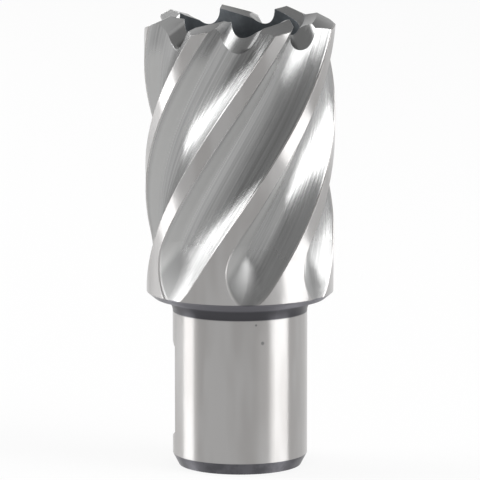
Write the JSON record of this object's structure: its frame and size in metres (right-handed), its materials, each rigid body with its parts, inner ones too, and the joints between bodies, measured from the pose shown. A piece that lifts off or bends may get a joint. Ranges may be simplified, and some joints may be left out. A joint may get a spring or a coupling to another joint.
{
  "type": "annular cutter",
  "caption": "Hollow drill with helical flutes and a ring of staggered teeth above a plain round shank with drive flats.",
  "frame": {"origin": "centre of the shank's end face, on the cutter's axis", "axes": "+Z along the axis from the shank to the teeth, -Y towards the side that the picture shows"},
  "size_m": [0.0269, 0.0269, 0.0643],
  "materials": {
    "ground_steel": "bright ground high-speed steel with fine grinding lines, darker where it isn't ground: the neck, the chamfers and the hollow"
  },
  "bodies": {
    "root": {"annular_cutter": "ground_steel"}
  },
  "joints": []
}
